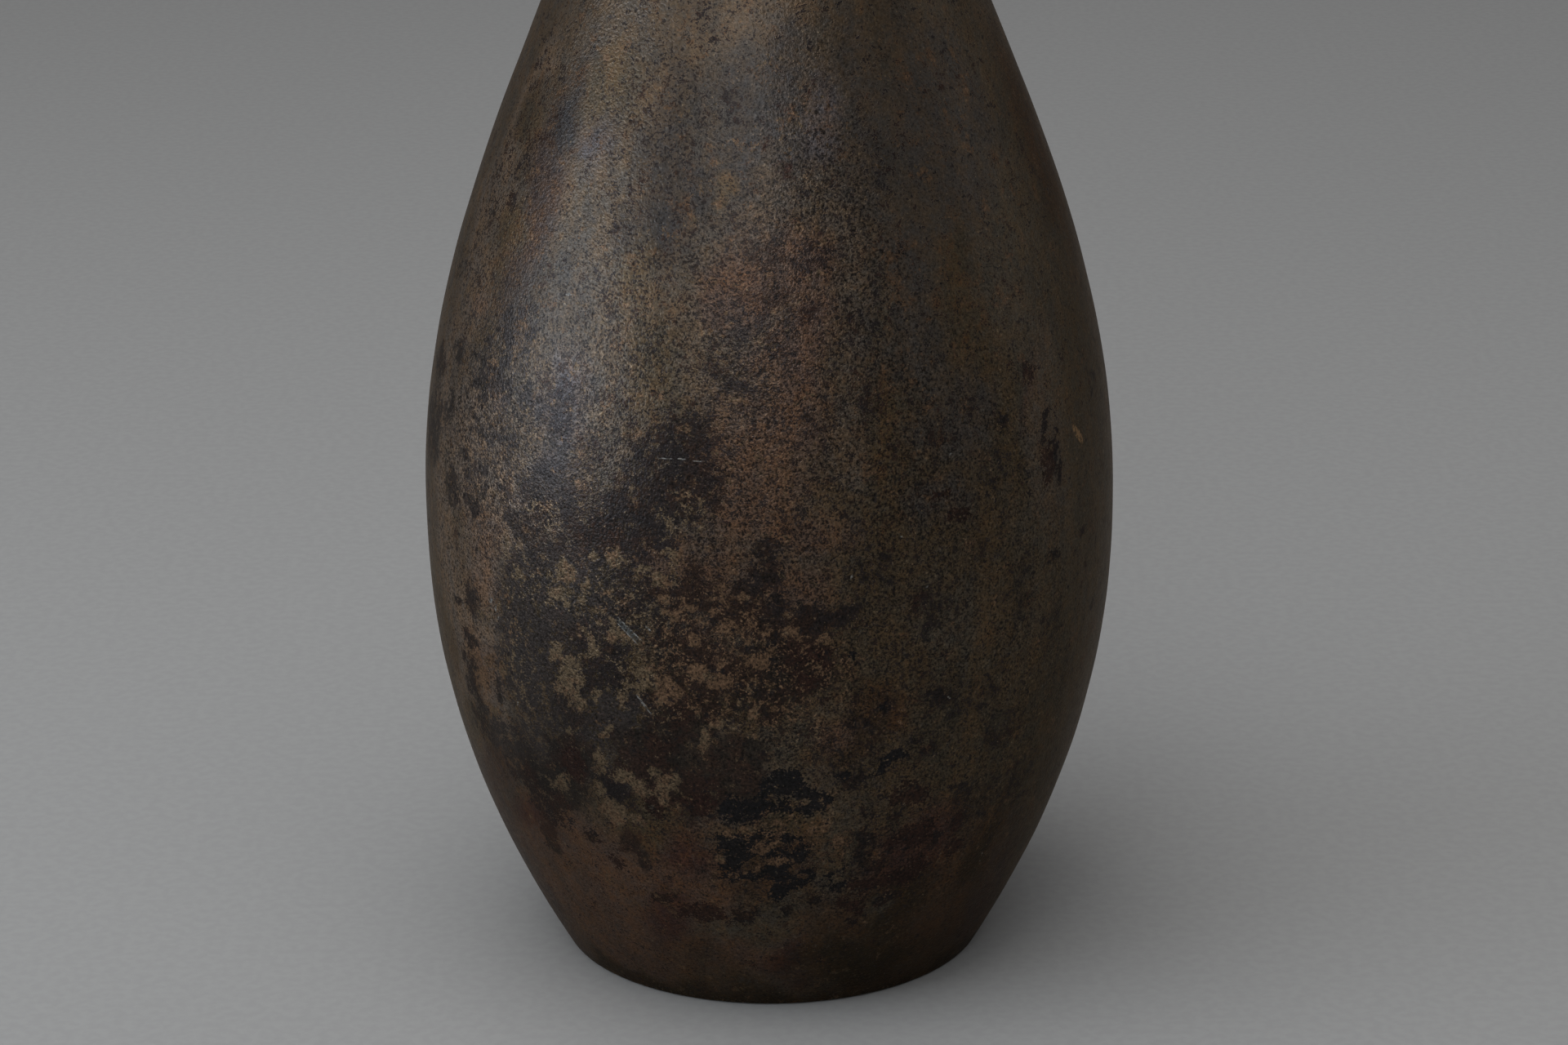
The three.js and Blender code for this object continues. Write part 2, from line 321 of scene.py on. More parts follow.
# Islands of bare ochre ground within the dark
OCHRE_ISLANDS = [
    (-37, 105.5, 2.6, 2.4), (-34.5, 96.5, 3.8, 4.6), (-34, 102, 2.4, 1.8), (-33, 91.5, 2, 1.8),
    (-29.3, 95.3, 1.8, 2), (-25.5, 112.5, 2.6, 2.6), (-22.5, 111.5, 2.4, 1.8),
    (-26, 115.5, 2, 1.4), (-20.5, 103.3, 3.4, 2.6), (-16.5, 99.8, 4.4, 4.6),
    (-22.5, 98.6, 2.6, 2.4), (-24.5, 96, 1.6, 1.4), (-19, 96, 1.6, 1.2), (-34, 127, 3.6, 3),
    (-30.5, 123.8, 2.6, 2.2), (-36, 121, 3.6, 1.6), (-35, 117.6, 3, 1.2), (-31, 119.5, 2.6, 1.4),
    (-17.2, 129, 5, 2.2), (-20.6, 131.3, 2.4, 1.6), (-25, 132.5, 2, 2.2), (-15, 134.6, 2, 3.4),
    (-16.6, 138, 1.6, 1.2), (-29, 131.5, 1.4, 1.8), (-12, 114, 2.4, 2.6), (-10, 104.5, 3.6, 2.8),
    (-11.4, 107.6, 1.6, 1.4), (-8, 101.6, 2.4, 1.4), (-6.5, 117, 2.6, 1.4), (-2, 109, 2.4, 2),
    (0.5, 111.6, 1.6, 1.2), (3, 116, 3, 1.6), (-3.6, 113.4, 1.2, 1.4), (-30.3, 78.4, 2.4, 2.8),
    (-28.6, 74.6, 2, 1.8), (-25.5, 72.6, 4, 2.4), (-22.8, 70.5, 2.2, 2), (-30, 68, 2.4, 3),
    (-28.6, 61.5, 3.4, 4), (-25, 60.6, 2.4, 1.8), (-21, 74.6, 1.6, 1), (-18, 72.6, 3.6, 1.6),
    (-15.8, 75, 1.8, 1.4), (-18.5, 68.4, 2, 2), (-10.5, 51.2, 1.8, 1.8), (-6, 59.2, 3.6, 0.8),
    (0, 61.8, 3, 1.2), (-2, 53.6, 2.8, 0.9), (-3.5, 49, 4, 0.8, 18), (-7, 92, 3, 1.4),
    (-11.4, 86.6, 1.6, 2), (-9.4, 89.8, 2, 1), (-2.5, 95, 1.8, 1.4), (-49.5, 113, 1.6, 1.6),
    (-54, 107.4, 2.6, 1.6), (-51, 93.6, 2.4, 2), (-16, 118.5, 1.6, 2.4), (-17, 123, 1.8, 1.6),
    (-13.4, 122.8, 2.6, 1.2), (-8, 121.5, 2.4, 1.1), (-30.4, 108.6, 1.6, 2.2), (-39, 67, 3, 2),
    (-36, 84, 2, 1.6), (8, 113.5, 2, 1.1), (-57, 88, 4.4, 3), (-54, 93.6, 3.6, 2.4),
    (-60, 94, 3, 1.6), (-55, 81.6, 4.4, 2), (-50, 95, 2, 1.6), (-27.6, 86, 1.8, 1.6),
    (-43, 66, 1.8, 1.4), (-3.6, 126.6, 1.8, 1.4), (-8.4, 127, 1.6, 1.8), (0, 69, 1.3, 0.9),
    (4.2, 68.4, 1.7, 1.1), (-1, 55.6, 5, 0.6, 10), (0, 50.6, 6, 0.6, 12), (-5, 47.4, 4, 0.5, -10),
    (2, 44.4, 4, 0.5, 8), (-4, 63.6, 3, 0.8, 20), (7, 60, 1.4, 2), (9.6, 63, 1.6, 3),
    (12, 57, 1.2, 1.6), (-8, 46.2, 2, 0.6),
]
# Areas strewn with small ochre islands
SPECKLED_AREAS = [
    (-3, 108, 14, 16), (-14, 118, 14, 14), (0, 60, 12, 8), (-18, 100, 14, 10), (-28, 118, 14, 12),
    (4, 92, 16, 8), (9, 106, 8, 8), (-39, 140, 8, 6), (-40, 124, 12, 8), (-14, 146, 8, 8),
    (-46, 98, 9, 16),
]
# Areas with fine dark freckles
FRECKLED_AREAS = [
    (-37, 170, 9, 13), (-24, 238, 22, 18), (-14, 190, 40, 40), (-2, 150, 26, 34),
    (-36, 172, 16, 10), (-38, 155, 18, 8), (-24, 182, 16, 20), (-8, 100, 40, 30),
    (14, 205, 14, 30), (-50, 150, 30, 20), (20, 130, 24, 60), (-60, 190, 24, 60),
]
# Areas where the grain of the casting sand shows most
SANDY_AREAS = [
    (36, 110, 28, 70), (-14, 130, 60, 60), (8, 150, 40, 60), (-48, 160, 16, 24),
    (-36, 150, 14, 14), (4, 70, 50, 40), (10, 210, 20, 40), (-60, 130, 20, 40),
]
# Areas where every layer leans to red-brown
RUSTY_AREAS = [
    (-56, 90, 8, 10), (4, 104, 16, 14), (-10, 116, 12, 20), (-14, 104, 8, 10), (0, 58, 10, 10),
    (18, 92, 10, 8), (6, 52, 14, 10), (28, 46, 18, 14), (38, 196, 8, 16), (40, 240, 10, 12),
    (74, 224, 12, 24), (-30, 36, 40, 20), (24, 205, 8, 8), (-16, 52, 16, 12), (-2, 205, 10, 10),
    (-55, 64, 12, 10), (-60, 235, 10, 8), (20, 165, 12, 20), (-50, 214, 9, 26), (-58, 196, 8, 10),
]

# Tones of the ground under the patches, in linear light
TAN = (0.092, 0.069, 0.048)
# Paler tan on the left flank where the left lamp falls: partly the ground's own tone, partly
# painted light
LIT_PALE_TAN = (0.158, 0.116, 0.083)
PEACH = (0.150, 0.099, 0.068)
OCHRE = (0.083, 0.060, 0.036)
HONEY = (0.070, 0.049, 0.026)
TERRACOTTA = (0.106, 0.063, 0.040)
ROSE = (0.090, 0.055, 0.038)
# Grey, mostly high on the front and top: partly a painted cool sheen, partly painted shade that
# dims the lamps' sheen there
SHEEN_GREY = (0.048, 0.041, 0.036)
DRAB = (0.063, 0.0505, 0.039)
# Lilac grey: a painted cool sheen, where the left and top lamps glance off the vase
SHEEN_LILAC = (0.076, 0.064, 0.060)
LODEN = (0.058, 0.043, 0.025)
OLIVE = (0.070, 0.049, 0.027)
MOSS = (0.074, 0.057, 0.037)
BROWN = (0.053, 0.031, 0.015)
SIENNA = (0.099, 0.059, 0.039)
UMBER = (0.065, 0.038, 0.021)
RUSSET = (0.060, 0.029, 0.021)
MAUVE = (0.060, 0.041, 0.032)
# Near-black brown: round the bottom of the foot a painted contact shadow, and low on the right
# three darker patches
DARK_BROWN_AND_SHADOW = (0.034, 0.0225, 0.0110)

# How far a patch fades on each side of its edge, as a share of its size
SOFT_EDGE = 0.55
CRISP_EDGE = 0.4

# Soft areas of tone, laid over one another in this order
TONE_AREAS = [
    (OLIVE, [
        (50, 130, 62, 140), (30, 150, 34, 110), (14, 220, 8, 30), (18, 170, 14, 30),
        (22, 110, 22, 40),
    ]),
    (MOSS, [
        (55, 190, 22, 70), (70, 110, 22, 60), (25, 215, 16, 30), (60, 60, 14, 30),
        (50, 150, 18, 34),
    ]),
    (DRAB, [
        (20, 232, 14, 26), (38, 228, 16, 28), (15, 196, 7, 20), (27, 196, 8, 16),
        (52, 240, 12, 16), (24, 174, 8, 12), (34, 168, 9, 10), (28, 146, 8, 8),
    ]),
    (HONEY, [(38, 194, 5, 16), (22, 168, 6, 8), (42, 160, 6, 20)]),
    (LODEN, [(50, 72, 22, 24), (58, 42, 16, 20), (40, 52, 10, 12), (30, 90, 8, 28)]),
    (BROWN, [(76, 222, 12, 26), (14, 90, 9, 7), (10, 92, 12, 10)]),
    (UMBER, [(-30, 28, 60, 30), (-10, 45, 30, 16), (30, 20, 44, 16), (40, 40, 20, 14)]),
    (SIENNA, [
        (-42, 24, 30, 26), (-34, 46, 24, 15), (-4, 22, 16, 10), (-16, 36, 16, 12),
        (-56, 30, 10, 20),
    ]),
    (MAUVE, [(-66, 36, 14, 34), (-60, 66, 12, 8), (56, 20, 14, 24), (-50, 212, 9, 26)]),
    (RUSSET, [
        (-16, 53, 12, 11), (-22, 32, 10, 8), (27, 50, 12, 14), (4, 14, 10, 6), (-50, 52, 8, 8),
        (50, 164, 4, 8),
    ]),
    # Painted contact shadow in a band round the foot's bottom edge, and three darker patches low
    # on the right
    (DARK_BROWN_AND_SHADOW, [(22, 12, 26, 8), (26, 30, 12, 10), (46, 44, 8, 10), (0, -1, 900, 5)]),
    (HONEY, [
        (-34, 118, 20, 20), (-26, 96, 18, 14), (-4, 98, 24, 12), (-2, 62, 9, 8), (-24, 66, 12, 12),
    ]),
    (MOSS, [
        (12, 52, 8, 10), (2, 84, 8, 8), (12, 66, 6, 6), (2, 34, 12, 7), (22, 30, 6, 4),
        (-4, 26, 16, 7), (30, 112, 10, 12),
    ]),
    # Partly painted sheen and painted shade: grey where the lamps above and in front give a cool
    # sheen
    (SHEEN_GREY, [
        (-20, 212, 13, 8), (-16, 231, 15, 16), (-44, 238, 12, 14), (4, 238, 12, 20),
        (-4, 200, 6, 10), (-24, 72, 5, 4), (-5, 232, 8, 20),
    ]),
    # Partly painted light: a paler tan on the left flank, where the left lamp falls
    (LIT_PALE_TAN, [
        (-50, 134, 14, 16), (-58, 150, 10, 16), (-42, 142, 12, 10), (-67, 102, 10, 26),
        (-70, 150, 8, 30), (-72, 205, 8, 20), (-67, 77, 8, 12), (-66, 232, 8, 20),
        (-64, 190, 7, 20), (-54, 80, 7, 12), (-58, 104, 8, 16),
    ]),
    (PEACH, [
        (-52, 126, 7, 12), (-56, 92, 8, 12), (-54, 168, 4, 4), (-62, 185, 5, 4), (-34, 130, 5, 4),
    ]),
    # Painted sheen: the cool lilac of the lamps' glancing light, on the left flank and the top
    (SHEEN_LILAC, [(-37, 169, 9, 12), (-37, 154, 8, 4), (-36, 236, 6, 14), (13, 236, 7, 14)]),
    (DRAB, [(-41, 198, 12, 14), (-16, 238, 12, 10)]),
    (TAN, [(14, 200, 7, 18), (13, 164, 5, 14), (53, 152, 9, 24)]),
    (OCHRE, [
        (-62, 232, 9, 8), (-75, 92, 9, 24), (-68, 70, 8, 6), (-20, 180, 8, 16), (-25, 200, 6, 8),
        (8, 64, 5, 5), (6, 97, 8, 5), (-60, 200, 8, 6), (-8, 220, 5, 4), (-36, 246, 12, 10),
    ]),
    (TERRACOTTA, [
        (-4, 158, 12, 18), (0, 142, 14, 8), (4, 176, 9, 16), (-10, 130, 8, 6), (-17, 131, 7, 4),
        (0, 122, 12, 8), (-9, 104, 7, 7), (9, 88, 5, 4),
    ]),
    (ROSE, [(5, 206, 10, 8), (-3, 202, 9, 8), (6, 190, 7, 8), (2, 184, 8, 6), (-12, 113, 5, 5)]),
]


def smooth(values, low, high):
    """Rises from 0 at the low value to 1 at the high one."""
    t = np.clip((values - low) / (high - low), 0, 1)
    return t * t * (3 - 2 * t)


def coverage(azimuth, height, patch, fade=SOFT_EDGE):
    """One inside a patch, a half at its edge, and nothing well outside: fade sets how far."""
    at_azimuth, at_height, half_width, half_height, *tilt = patch
    turn = math.radians(tilt[0] if tilt else 0)
    along = ((azimuth - at_azimuth + 180) % 360 - 180) * UNROLL
    up = height - at_height
    u = (along * math.cos(turn) + up * math.sin(turn)) / half_width
    v = (up * math.cos(turn) - along * math.sin(turn)) / half_height
    return 1 - smooth(np.hypot(u, v), 1 - fade, 1 + fade)


def cover(azimuth, height, patches, fade=SOFT_EDGE):
    """How far the patches together cover each point."""
    bare = np.ones_like(azimuth)
    for patch in patches:
        bare = bare * (1 - coverage(azimuth, height, patch, fade))
    return 1 - bare


# The part of the outside that the photo shows: azimuths to each side, and the height
SEEN_AZIMUTH = 82
SEEN_HEIGHT = 256

# Busy places on the back and the neck: azimuth, height, and how far the patches spread in mm
GATHERINGS = [
    (158, 118, 26), (-138, 150, 24), (-168, 78, 20), (118, 84, 18), (-112, 62, 16),
    (172, 205, 18), (126, 190, 14), (-30, 318, 16), (70, 350, 14), (-150, 300, 20),
]
GATHERED_SHARE = 0.8

# Unseen patches: between which heights, how many times as wide as high, how slanted in
# degrees, and how many of each tone, with which half heights
UNSEEN_HEIGHTS = (5, 400)
UNSEEN_WIDTHS = (0.8, 1.9)
UNSEEN_SLANTS = (-30, 30)
UNSEEN_TONES = (3, (10, 34))
UNSEEN_SEED = 11


def unseen_place(rng):
    """Somewhere on the outside, more often than not in one of the busy places."""
    if rng.uniform() > GATHERED_SHARE:
        return rng.uniform(-180, 180), rng.uniform(*UNSEEN_HEIGHTS)
    azimuth, height, spread = GATHERINGS[rng.integers(len(GATHERINGS))]
    azimuth += rng.normal(0, spread) / UNROLL
    return (azimuth + 180) % 360 - 180, height + rng.normal(0, spread)


def unseen_patches(rng, count, sizes):
    """Patches like the others, on the back and on the neck, which the photo doesn't show."""
    patches = []
    while len(patches) < count:
        azimuth, height = unseen_place(rng)
        half_height = rng.uniform(*sizes)
        half_width = half_height * rng.uniform(*UNSEEN_WIDTHS)
        tilt = rng.uniform(*UNSEEN_SLANTS)
        beside = abs(azimuth) > SEEN_AZIMUTH + half_width / UNROLL
        above = height > SEEN_HEIGHT + half_height
        if beside or above:
            patches.append((azimuth, height, half_width, half_height, tilt))
    return patches


# Where the noises that move the patches round and up are read
DRIFT_ROUND = Vector((0, 0, 0))
DRIFT_UP = Vector((31.7, 12.9, 5.3))


def drift(points, size, offset):
    """A wandering number for each point, the same on every run."""
    scale = 1 / (size * MM)
    return np.array([
        noise.noise(Vector(p) * scale + offset) + 0.5 * noise.noise(Vector(p) * 3 * scale + offset)
        for p in points
    ])


def wandered(azimuth, height, points, reach, size):
    """The places moved about by some millimetres, so that no patch is a plain ellipse."""
    return (
        azimuth + drift(points, size, DRIFT_ROUND) * reach / UNROLL,
        height + drift(points, size, DRIFT_UP) * reach,
    )


# The painted layers: the patches in front, how many more go on the unseen side, their half
# heights, and how their edges fade where that isn't softly. The draws depend on this order.
LAYERS = [
    ("cores", DARK_CORES, 14, (3, 7)),
    ("clouds", DARK_CLOUDS, 56, (3, 12)),
    ("lace", DARK_LACE, 150, (1.4, 4)),
    ("thin_lace", THIN_LACE, 12, (14, 30)),
    ("ochre", OCHRE_ISLANDS, 120, (1, 4), CRISP_EDGE),
    ("specks", SPECKLED_AREAS, 20, (8, 20)),
    ("shadows", FAINT_SHADOWS, 80, (3, 8)),
    ("dusky", DARK_SHEEN_AREAS, 8, (14, 30)),
    ("freckles", FRECKLED_AREAS, 16, (16, 40)),
    ("sandy", SANDY_AREAS, 10, (20, 50)),
    ("rusty", RUSTY_AREAS, 20, (8, 24)),
    ("slate", SLATE_PATCHES, 26, (1.2, 3.6), CRISP_EDGE),
    ("oxblood", OXBLOOD_PATCHES, 40, (1.6, 5), CRISP_EDGE),
    ("glaze", BROWN_GLAZES, 16, (4, 10)),
]


def patina_fields(azimuth, height, rng):
    """How far each layer of the patina covers each point of the outside, from 0 to 1."""
    fields = {}
    for name, patches, unseen, sizes, *fade in LAYERS:
        everywhere = patches + unseen_patches(rng, unseen, sizes)
        fields[name] = cover(azimuth, height, everywhere, *fade)
    dark = np.maximum(0.8 * fields.pop("clouds"), 0.95 * fields.pop("cores"))
    fields["dark"] = np.maximum(dark, 0.39 * fields.pop("shadows"))
    fields["lace"] = np.maximum(fields["lace"], 0.4 * fields.pop("thin_lace"))
    fields["ochre"] = 0.95 * fields["ochre"]
    return fields


def ground_tone(azimuth, height, rng):
    """The colour of the ground at each point: tan, with soft areas of the other tones."""
    colour = np.tile(np.array(TAN), (len(azimuth), 1))
    for tone, areas in TONE_AREAS:
        areas = areas + unseen_patches(rng, *UNSEEN_TONES)
        share = cover(azimuth, height, areas)[:, None]
        colour = colour * (1 - share) + np.array(tone) * share
    return colour


# Meshes

def ring_points(outline, azimuths):
    """The vertices of an outline turned about the axis, ring by ring, in metres."""
    angle = np.radians(azimuths)
    radius = outline[:, 0][:, None] * MM
    x = radius * np.sin(angle)
    y = -radius * np.cos(angle)
    z = np.repeat(outline[:, 1][:, None] * MM, len(azimuths), axis=1)
    return np.stack([x, y, z], axis=2).reshape(-1, 3)


def unroll(mesh, steps, around):
    """A flat map of a turned mesh for baking: round it, by the steps along its outline."""
    run = np.concatenate([[0], np.cumsum(steps)]) / steps.sum()
    side = np.arange(around)
    uv = np.zeros((len(steps), around, 4, 2))
    uv[..., 0] = np.stack([side, side + 1, side + 1, side], axis=1) / around
    uv[..., 0:2, 1] = run[:-1, None, None]
    uv[..., 2:4, 1] = run[1:, None, None]
    layer = mesh.uv_layers.new(name="OFBake")
    inset = uv * (1 - 2 * MAP_MARGIN) + MAP_MARGIN
    layer.data.foreach_set("uv", inset.astype(np.float32).ravel())


def turned_mesh(name, outline, around, closed, weights=None):
    """An outline turned into a mesh: a closed one is a ring, an open one ends on the axis.

    The weights share the map's height out among the outline's steps.
    """
    rings = len(outline)
    turns = np.arange(around) * 360 / around - 180
    azimuths = turns - FRONT_FINER * np.sin(np.radians(turns))
    vertices = ring_points(outline, azimuths)
    low = np.arange(rings if closed else rings - 1)[:, None]
    high = (low + 1) % rings
    side = np.arange(around)
    beside = (side + 1) % around
    corners = [low * around + side, low * around + beside]
    corners += [high * around + beside, high * around + side]
    mesh = bpy.data.meshes.new(name)
    mesh.from_pydata(vertices, [], np.stack(corners, axis=2).reshape(-1, 4).tolist())
    steps = np.linalg.norm(np.roll(outline, -1, axis=0) - outline, axis=1)[: len(low)]
    unroll(mesh, steps if weights is None else steps * weights, around)
    mesh.shade_smooth()
    piece = bpy.data.objects.new(name, mesh)
    bpy.context.scene.collection.objects.link(piece)
    return piece


def mesh_points(mesh):
    points = np.zeros(len(mesh.vertices) * 3)
    mesh.vertices.foreach_get("co", points)
    return points.reshape(-1, 3)


def move_points(mesh, points):
    mesh.vertices.foreach_set("co", points.ravel())
    mesh.update()


def set_field(mesh, name, values):
    attribute = mesh.attributes.new(name, "FLOAT", "POINT")
    attribute.data.foreach_set("value", values.astype(np.float32))


def as_cast(points, outside):
    """The points moved a little in and out: a casting's outside is never quite true."""
    wander = np.array([
        noise.noise(Vector(p) * WANDER_SCALE) + 0.5 * noise.noise(Vector(p) * FINE_WANDER_SCALE)
        for p in points
    ])
    height = points[:, 2] / MM
    reach = smooth(height, *FOOT_TRUE_UP_TO) * (1 - smooth(height, *LIP_TRUE_FROM)) * outside
    radial = points * (1, 1, 0)
    radial /= np.linalg.norm(radial, axis=1, keepdims=True)
    return points + radial * (wander * reach * WANDER * MM)[:, None]


def wear(height, outside):
    """How far the lip and the edge of the foot are rubbed, from 0 to 1."""
    lip_low = MOUTH["height"] - LIP
    lip_wear = smooth(height, lip_low, lip_low + LIP_WEAR_RISE)
    foot_wear = FOOT_WEAR * (1 - smooth(height, *FOOT_WEAR_FADE)) * outside
    return np.maximum(lip_wear, foot_wear)


def paint(mesh, points, outside):
    """Gives the casting's points the patina's layers, the ground's tone and the wear."""
    azimuth = np.degrees(np.arctan2(points[:, 0], -points[:, 1]))
    height = points[:, 2] / MM
    shown = (azimuth[outside], height[outside], points[outside])
    rng = np.random.default_rng(UNSEEN_SEED)
    layers = patina_fields(*wandered(*shown, PATCH_REACH, PATCH_WANDER), rng)
    for name, values in layers.items():
        whole = np.zeros(len(points))
        whole[outside] = values
        set_field(mesh, name, whole)
    tone = np.ones((len(points), 4))
    tone[outside, :3] = ground_tone(*wandered(*shown, TONE_REACH, TONE_WANDER), rng)
    attribute = mesh.attributes.new("tone", "FLOAT_COLOR", "POINT")
    attribute.data.foreach_set("color", tone.astype(np.float32).ravel())
    set_field(mesh, "outside", outside.astype(float))
    set_field(mesh, "wear", wear(height, outside))
    set_field(mesh, "azimuth", azimuth)


def casting():
    """The vase itself: foot, body, neck and lip, with the patina's painted layers."""
    outline, outside_count = casting_outline()
    weights = np.full(len(outline), INSIDE_MAP_SHARE)
    weights[:outside_count] = 1.0
    piece = turned_mesh("vase_body", outline, AROUND, True, weights)
    outside = np.repeat(np.arange(len(outline)) < outside_count, AROUND)
    points = as_cast(mesh_points(piece.data), outside)
    paint(piece.data, points, outside)
    move_points(piece.data, points)
    return piece


def base_plate():
    """The turned plate under the foot, with its faint lathe rings and small centre mark."""
    radius = SEAT_RADIUS - JOINT_GAP
    under = np.linspace(CENTRE_MARK_RADIUS, radius - 2 * PLATE_EDGE_BREAK, PLATE_STEPS)
    ripple = RING_DEPTH * np.cos(under * RING_TURN)
    bottom = np.column_stack([under, SEAT_RECESS + RING_DEPTH + ripple])
    bottom[0] = (0.0, SEAT_RECESS + CENTRE_MARK_DEPTH)
    edge = np.array([
        (radius - PLATE_EDGE_BREAK, SEAT_RECESS),
        (radius, SEAT_RECESS + PLATE_EDGE_BREAK),
        (radius, PLATE_TOP - PLATE_CHAMFER),
        (radius - PLATE_CHAMFER, PLATE_TOP),
    ])
    above = np.linspace(radius - PLATE_TOP_INSET, 0.0, PLATE_TOP_STEPS + 1)
    top = np.column_stack([above, np.full_like(above, PLATE_TOP)])
    return turned_mesh("base_plate_turned", np.vstack([bottom, edge, top]), PLATE_AROUND, False)


def solder_bead():
    """The bead in the corner under the plate, laid by hand, so its leg swells and thins."""
    radius = SEAT_RADIUS - JOINT_GAP
    centre = (radius - SOLDER_LEG, SEAT_RECESS - SOLDER_LEG)
    face = arc(centre, SOLDER_LEG, math.pi / 2, 0, SOLDER_STEPS)
    outline = np.vstack([face, [(radius, SEAT_RECESS)]])
    piece = turned_mesh("solder_bead_laid", outline, SOLDER_AROUND, True)
    points = mesh_points(piece.data)
    corner = np.array([radius, SEAT_RECESS]) * MM
    across = np.hypot(points[:, 0], points[:, 1])
    swell = np.array([
        1 + SOLDER_SWELL * noise.noise(Vector((p[0], p[1], 0)) * SOLDER_SWELL_SCALE)
        for p in points
    ])
    new_across = corner[0] + (across - corner[0]) * swell
    points[:, :2] *= (new_across / across)[:, None]
    points[:, 2] = corner[1] + (points[:, 2] - corner[1]) * swell
    move_points(piece.data, points)
    return piece


# Materials

# A shader's noise of one octave has this average and this spread
NOISE_AVERAGE = 0.5
NOISE_SPREAD = 0.14

# How far from its zero line, in spreads of the noise, a thread reaches
THREAD_WIDTH = 0.8

# Patinated metal mirrors less at glancing angles than clean metal; its wax is thin but bright
METALLIC = 0.85
EDGE_TINT = (0.48, 0.435, 0.39, 1)
COAT_IOR = 2.0


class Shade:
    """Adds shader nodes to a material and wires them together."""

    def __init__(self, name):
        self.material = bpy.data.materials.new(name)
        self.material.use_nodes = True
        self.tree = self.material.node_tree
        self.tree.nodes.clear()
        self.place = self.add("ShaderNodeTexCoord").outputs["Object"]

    def add(self, kind, inputs=(), **settings):
        """A new node. Its inputs, values or sockets, come in their order or by name or number."""
        made = self.tree.nodes.new(kind)
        for key, value in settings.items():
            setattr(made, key, value)
        for key, value in inputs.items() if isinstance(inputs, dict) else enumerate(inputs):
            self.wire(value, made.inputs[key])
        return made

    def wire(self, value, socket):
        if isinstance(value, bpy.types.NodeSocket):
            self.tree.links.new(value, socket)
        else:
            socket.default_value = value

    def sum(self, operation, first, second=0.0, third=0.0):
        """The result of a sum on up to three numbers."""
        return self.add("ShaderNodeMath", (first, second, third), operation=operation).outputs[0]

    def field(self, name):
        return self.add("ShaderNodeAttribute", attribute_name=name).outputs["Fac"]

    def grain(self, size, detail=2, rough=0.5, seed=0.0, stretch=(1, 1, 1)):
        """Noise with features from size millimetres down, averaging 0 with a spread of 1."""
        terms = (self.place, stretch, (seed, 0.37 * seed, 0.61 * seed))
        moved = self.add("ShaderNodeVectorMath", terms, operation="MULTIPLY_ADD")
        made = self.add("ShaderNodeTexNoise", {
            "Vector": moved.outputs[0],
            "Scale": 1 / (size * MM),
            "Detail": detail,
            "Roughness": rough,
        })
        octaves = [rough ** step for step in range(detail + 1)]
        spread = NOISE_SPREAD * math.hypot(*octaves) / sum(octaves)
        return self.sum("DIVIDE", self.sum("SUBTRACT", made.outputs["Fac"], NOISE_AVERAGE), spread)

    def ramp(self, value, low, high, to_low=0.0, to_high=1.0):
        """Goes smoothly from one number to another while the value goes from low to high."""
        inputs = (value, low, high, to_low, to_high)
        return self.add("ShaderNodeMapRange", inputs, interpolation_type="SMOOTHSTEP").outputs[0]

    def mix(self, factor, first, second, how="MIX"):
        # A mix node has its colours at inputs 6 and 7 and at output 2
        inputs = {0: factor, 6: first, 7: second}
        return self.add("ShaderNodeMix", inputs, data_type="RGBA", blend_type=how).outputs[2]

    def lay(self, under, over, mask, share):
        """A colour laid over another where the mask is 1, hiding the share given of it."""
        return self.mix(self.sum("MULTIPLY", mask, share), under, over)

    def blend(self, *shares):
        """The sum of the values given, each times its share."""
        total = 0.0
        for value, share in shares:
            total = self.sum("MULTIPLY_ADD", value, share, total)
        return total

    def threads(self, noise):
        """Highest along the winding lines where a noise crosses 0."""
        return self.sum("SUBTRACT", THREAD_WIDTH, self.sum("ABSOLUTE", noise))

    def ragged(self, coverage, grain, edge=0.05):
        """A crisp mask from a soft coverage and a grain: islands, specks and torn edges."""
        return self.ramp(self.sum("ADD", coverage, grain), 0.5 - edge, 0.5 + edge)

    def finish(self, colour, roughness, height, depth, metallic, coat=0.0, coat_roughness=0.3):
        """The surface: a height of 1 stands depth millimetres proud."""
        raised = {"Distance": depth * MM, "Height": height}
        normal = self.add("ShaderNodeBump", raised).outputs["Normal"]
        surface = self.add("ShaderNodeBsdfPrincipled", {
            "Base Color": colour,
            "Roughness": roughness,
            "Metallic": metallic,
            "Specular Tint": EDGE_TINT,
            "Normal": normal,
            "Coat Weight": coat,
            "Coat Roughness": coat_roughness,
            "Coat IOR": COAT_IOR,
            "Coat Normal": normal,
        })
        self.add("ShaderNodeOutputMaterial", {"Surface": surface.outputs["BSDF"]})
        return self.material


# The ground leans by turns to these two hues
COOLER = (0.935, 1.0, 1.11, 1)
WARMER = (1.11, 0.99, 0.86, 1)

# Colours of the layers, the other pieces and the stage, in linear light
RUST = (0.086, 0.040, 0.014, 1)
ASH = (0.056, 0.051, 0.044, 1)
CLOUD = (0.0122, 0.0094, 0.0100, 1)
# A paler, greyer dark: painted sheen on the dark patina
DARK_SHEEN = (0.0315, 0.0265, 0.0252, 1)
SLATE = (0.0075, 0.0075, 0.0090, 1)
OXBLOOD = (0.026, 0.011, 0.008, 1)
PALE_OCHRE = (0.122, 0.086, 0.051, 1)
PALE_RUST = (0.134, 0.079, 0.045, 1)
BROWN_CLOUD = (0.020, 0.0105, 0.0075, 1)
BROWN_GLAZE = (0.026, 0.0125, 0.0085, 1)
OLIVE_GLAZE = (0.0175, 0.0135, 0.0105, 1)
SCUFFED = (0.075, 0.078, 0.074, 1)
